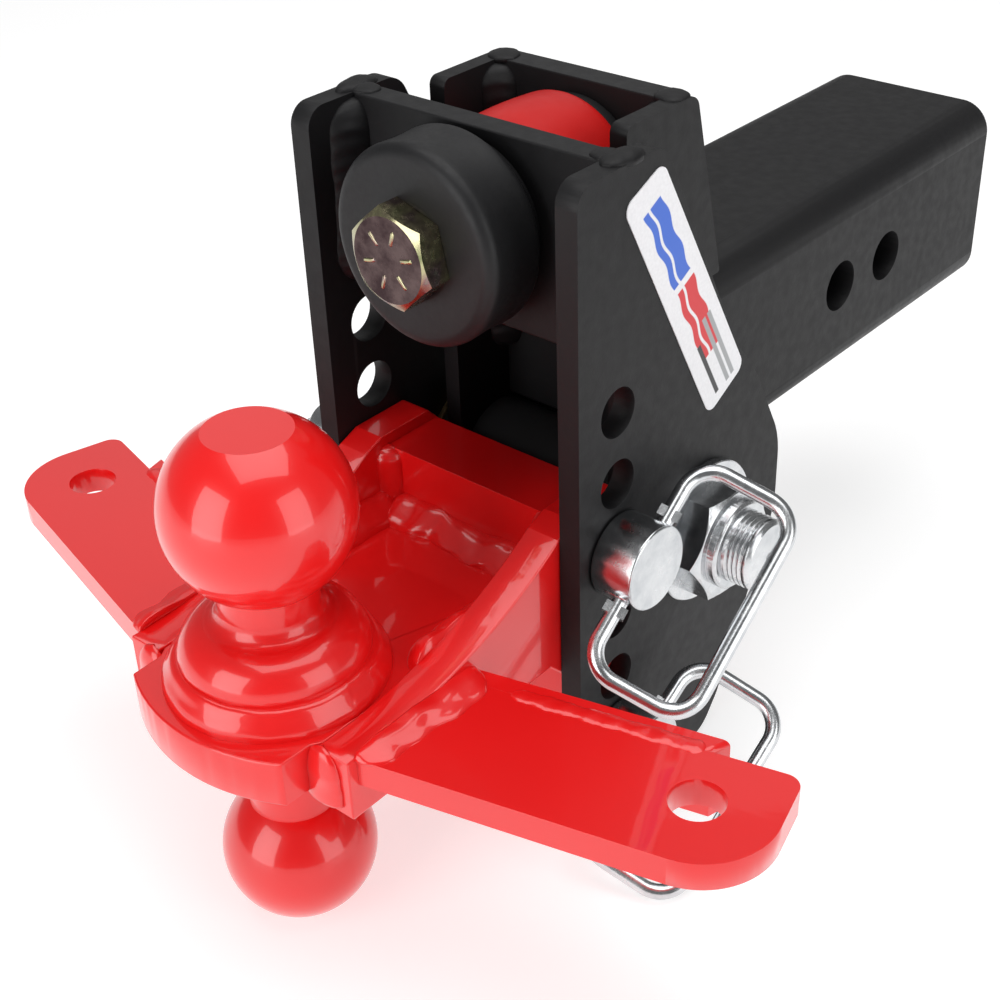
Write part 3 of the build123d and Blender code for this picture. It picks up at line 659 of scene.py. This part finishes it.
def make_rear_frame_welds():
    """Bead and cap in each corner between the back plate and a rear side plate."""
    low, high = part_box("back_plate")
    for name, side in SIDES:
        x = high.x * side
        start = (x, low.y, low.z + 20 * MM)
        end = (x, low.y, high.z - 1.0 * MM)
        route, length = straight(start, end, (-side, 0, 0), (0, -1, 0))
        bead("rear_corner_bead_" + name, route, length, (7.5 * MM, 9.0 * MM), BLACK_REAR,
             seed=9 + side)
        middle = (x + side * 0.8 * MM, (low.y + high.y) / 2 - 1.2 * MM, high.z)
        size = (5.6 * MM, (high.y - low.y) / 2 + 0.8 * MM, 1.7 * MM)
        mound("rear_corner_cap_" + name, middle, size, BLACK_REAR, seed=12 + side)


# ------------------------------------------------------------------ welds of the ball mount
def make_ball_bead():
    """Round bead between the base of the top ball and the plate."""
    low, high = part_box("weld_top_ball")
    centre = Vector(((low.x + high.x) / 2, (low.y + high.y) / 2, low.z))
    radius = 29.6 * MM

    def route(t):
        angle = 2 * math.pi * t
        out = Vector((math.cos(angle), math.sin(angle), 0))
        return centre + out * radius, out, Vector((0, 0, 1))

    length = 2 * math.pi * radius
    rings = int(length / RING_STEP)
    closed = (lambda t: route(t * (rings - 1) / rings))
    bead("ball_base_bead", closed, length, (5.6 * MM, 9.2 * MM), RED, ["weld_top_ball"], seed=5,
         pitch=26.6, ripple=0.03, power=1.15, ends=False, uneven=0.05, passes=0.045)


def make_plate_beads():
    """Beads on top of the ball plate, along both gussets and in front of the cross block."""
    plate_low, plate_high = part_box("ball_plate")
    block_low, block_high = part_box("mount_block_upper")
    top = plate_high.z
    y = block_low.y
    for name, side in SIDES:
        x = plate_high.x * side
        start, end = (x, y + 1 * MM, top), (x, y - 64 * MM, top)
        route, length = straight(start, end, (-side, 0, 0), (0, 0, 1))
        bead("gusset_bead_" + name, route, length, (8.5 * MM, 9.5 * MM), RED, ["weld_plate_" + name],
             seed=20 + side, pitch=13.0, ripple=0.06, power=1.25, uneven=0.16, passes=0.02)
        start, end = (x, y, top + 2 * MM), (x, y, block_high.z + 0.5 * MM)
        route, length = straight(start, end, (-side, 0, 0), (0, -1, 0))
        bead("block_corner_bead_" + name, route, length, (6.0 * MM, 6.0 * MM), RED,
             seed=24 + side, pitch=11.0, ripple=0.04, uneven=0.1)
    start, end = (plate_low.x, y, top), (plate_high.x, y, top)
    route, length = straight(start, end, (0, -1, 0), (0, 0, 1))
    bead("block_front_bead", route, length, (10.0 * MM, 7.5 * MM), RED, ["weld_block_front"],
         seed=31, pitch=14.0, ripple=0.09, power=1.3, uneven=0.20, passes=0.03)


def make_gusset_end_beads():
    """Dome shaped bead on each front corner, from the plate's edge onto the end of the gusset."""
    for name, side in SIDES:
        low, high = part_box("weld_gusset_" + name)
        centre_x = (low.x + high.x) / 2 - side * 1.2 * MM
        half = 0.72 * (high.x - low.x)
        crest = high.z + 3.0 * MM
        reach = 0.62 * (high.y - low.y)
        rings, per_ring = 26, 15
        verts = []
        for i in range(rings):
            t = i / (rings - 1)
            z = low.z + (crest - low.z) * t
            crown = math.sqrt(max(0.0, 1 - max(0.0, (t - 0.45) / 0.55) ** 2))
            ripple = 1 + 0.04 * math.sin(t * 12 + side)
            width = half * crown * (1 + 0.04 * wobble(side + 40, t * 9))
            depth = reach * crown ** 0.7 * ripple
            for k in range(per_ring):
                angle = math.pi * k / (per_ring - 1)
                x = centre_x + width * math.cos(angle)
                y = high.y - depth * max(0.0, math.sin(angle)) ** 0.8
                verts.append((x, y + 0.4 * MM, z))
            verts.append((centre_x, high.y + 1.2 * MM, z))
        faces = tube_faces(rings, per_ring + 1) + end_faces(rings, per_ring + 1)
        make_piece("gusset_end_bead_" + name, verts, faces, RED, ["weld_gusset_" + name])


TAB_SWEEP = math.radians(14.5)      # how far each tab leans back
SEAM_LENGTH = 62 * MM               # visible seam between a tab and its stiffener


def make_tab_beads():
    """Bead along the root of each tab, and a low one over the seam of its stiffener."""
    for name, side in SIDES:
        low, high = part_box("weld_tab_" + name)
        gusset_low, gusset_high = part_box("mount_side_plate_" + name)
        x = gusset_high.x if side > 0 else gusset_low.x
        top = low.z
        start, end = (x, low.y - 0.5 * MM, top), (x, high.y + 6 * MM, top)
        route, length = straight(start, end, (side, 0, 0), (0, 0, 1))
        bead("tab_root_bead_" + name, route, length, (8.8 * MM, 3.4 * MM), RED, ["weld_tab_" + name],
             seed=50 + side, pitch=21.0, ripple=0.05, power=1.5, uneven=0.22, passes=0.04)
        make_seam_bead(name, side, top)


def make_seam_bead(name, side, top):
    """Low rippled strip of weld along the seam between a tab and its stiffener."""
    low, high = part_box("tab_stiffener_" + name)
    along = Vector((side * math.cos(TAB_SWEEP), math.sin(TAB_SWEEP), 0))
    front = Vector((side * math.sin(TAB_SWEEP), -math.cos(TAB_SWEEP), 0))
    up = Vector((0, 0, 1))
    corner = Vector((high.x if side > 0 else low.x, high.y, top - 0.4 * MM))
    end = corner - along * 5 * MM + front * 6 * MM
    start = end - along * SEAM_LENGTH
    half_width, height = 3.4 * MM, 0.95 * MM
    rings, per_ring = 100, 12
    verts = []
    for i in range(rings):
        t = i / (rings - 1)
        point = start.lerp(end, t)
        s = t * SEAM_LENGTH / MM
        grow = 0.92 * rounded_end(t, 1 / 14) + 0.08
        width = half_width * (1 + 0.16 * wobble(side + 60, s * 0.4)) * grow
        for k in range(per_ring):
            turn = 2 * math.pi * k / per_ring
            wave = math.sin(s * 0.8 + 0.8 * math.cos(turn)) * max(0.0, math.sin(turn))
            rise = height * math.sin(turn) * (1 + 0.10 * wave) * grow
            verts.append(point + front * width * math.cos(turn) + up * rise)
    faces = tube_faces(rings, per_ring) + end_faces(rings, per_ring)
    make_piece("tab_seam_bead_" + name, verts, faces, RED)


make_front_cushion()
make_rear_cushion()
make_bolt_marks()
make_front_frame_welds()
make_rear_frame_welds()
make_ball_bead()
make_plate_beads()
make_gusset_end_beads()
make_tab_beads()


# ------------------------------------------------------------------ floor, light and camera
FLOOR_HALF = 6.0                    # the floor is a square of twice this
FLOOR_GAP = 0.5 * MM
FLOOR_GLOW = 0.62                   # lifts the floor to an even white, with soft shadows
ROOM_LIGHT = 0.17
LIGHT_TARGET = (0.0, -0.2, 0.0)
SOFTBOXES = (                       # name, place, width and height, power
    ("overhead", (0.05, -0.1, 1.5), (1.6, 1.6), 20),
    ("left", (-0.15, -1.45, 0.35), (0.8, 1.15), 9.5),
    ("right", (1.35, -0.15, 0.35), (0.8, 1.15), 7.0),
    ("behind", (-0.95, 0.95, 0.90), (1.6, 0.9), 2.0),
)
CAMERA_LENS = 60.313
CAMERA_PLACE = (0.321924, -0.5467107, 0.2791804)
CAMERA_RIGHT = Vector((0.75761359, 0.65194304, -0.03149464))
CAMERA_DOWN = Vector((0.33429597, -0.42901937, -0.83915945))
CAMERA_AHEAD = Vector((-0.56059598, 0.62523008, -0.54297284))


def make_floor():
    """White floor just below the object."""
    mesh = bpy.data.meshes.new("floor")
    half = FLOOR_HALF
    corners = [(-half, -half, 0), (half, -half, 0), (half, half, 0), (-half, half, 0)]
    mesh.from_pydata(corners, [], [(0, 1, 2, 3)])
    floor = bpy.data.objects.new("floor", mesh)
    bpy.context.collection.objects.link(floor)
    floor.location.z = CAD_BOUNDS[0][2] - FLOOR_GAP
    n = Nodes("floor_white")
    tone = n.ramp(n.noise(3, 2.0, 0.5), [(0.3, 0.55), (0.7, 0.57)])
    n.set(base_color=tone, roughness=0.6)
    n.bsdf.inputs["Emission Color"].default_value = (1, 1, 1, 1)
    n.bsdf.inputs["Emission Strength"].default_value = FLOOR_GLOW
    floor.data.materials.append(n.mat)


def make_softbox(name, place, size, power):
    data = bpy.data.lights.new(name, "AREA")
    data.shape = "RECTANGLE"
    data.size, data.size_y = size
    data.energy = power
    light = bpy.data.objects.new(name, data)
    bpy.context.collection.objects.link(light)
    light.location = place
    way = Vector(LIGHT_TARGET) - Vector(place)
    light.rotation_euler = way.to_track_quat("-Z", "Y").to_euler()


def make_lights():
    """Two tall softboxes either side of the camera, one overhead, one behind, and a dim room."""
    world = bpy.data.worlds.new("studio")
    bpy.context.scene.world = world
    world.use_nodes = True
    back = world.node_tree.nodes["Background"]
    back.inputs["Color"].default_value = (1, 1, 1, 1)
    back.inputs["Strength"].default_value = ROOM_LIGHT
    for name, place, size, power in SOFTBOXES:
        make_softbox(name, place, size, power)


def make_camera():
    """Camera above the front right, looking down at the hitch."""
    data = bpy.data.cameras.new("camera")
    data.lens = CAMERA_LENS
    data.sensor_width = 36.0
    data.sensor_fit = "HORIZONTAL"
    data.clip_start, data.clip_end = 0.01, 50
    cam = bpy.data.objects.new("camera", data)
    bpy.context.collection.objects.link(cam)
    turn = Matrix((CAMERA_RIGHT, -CAMERA_DOWN, -CAMERA_AHEAD)).transposed().to_4x4()
    cam.matrix_world = Matrix.Translation(CAMERA_PLACE) @ turn
    bpy.context.scene.camera = cam


make_floor()
make_lights()
make_camera()
bpy.context.scene.view_settings.view_transform = "Standard"
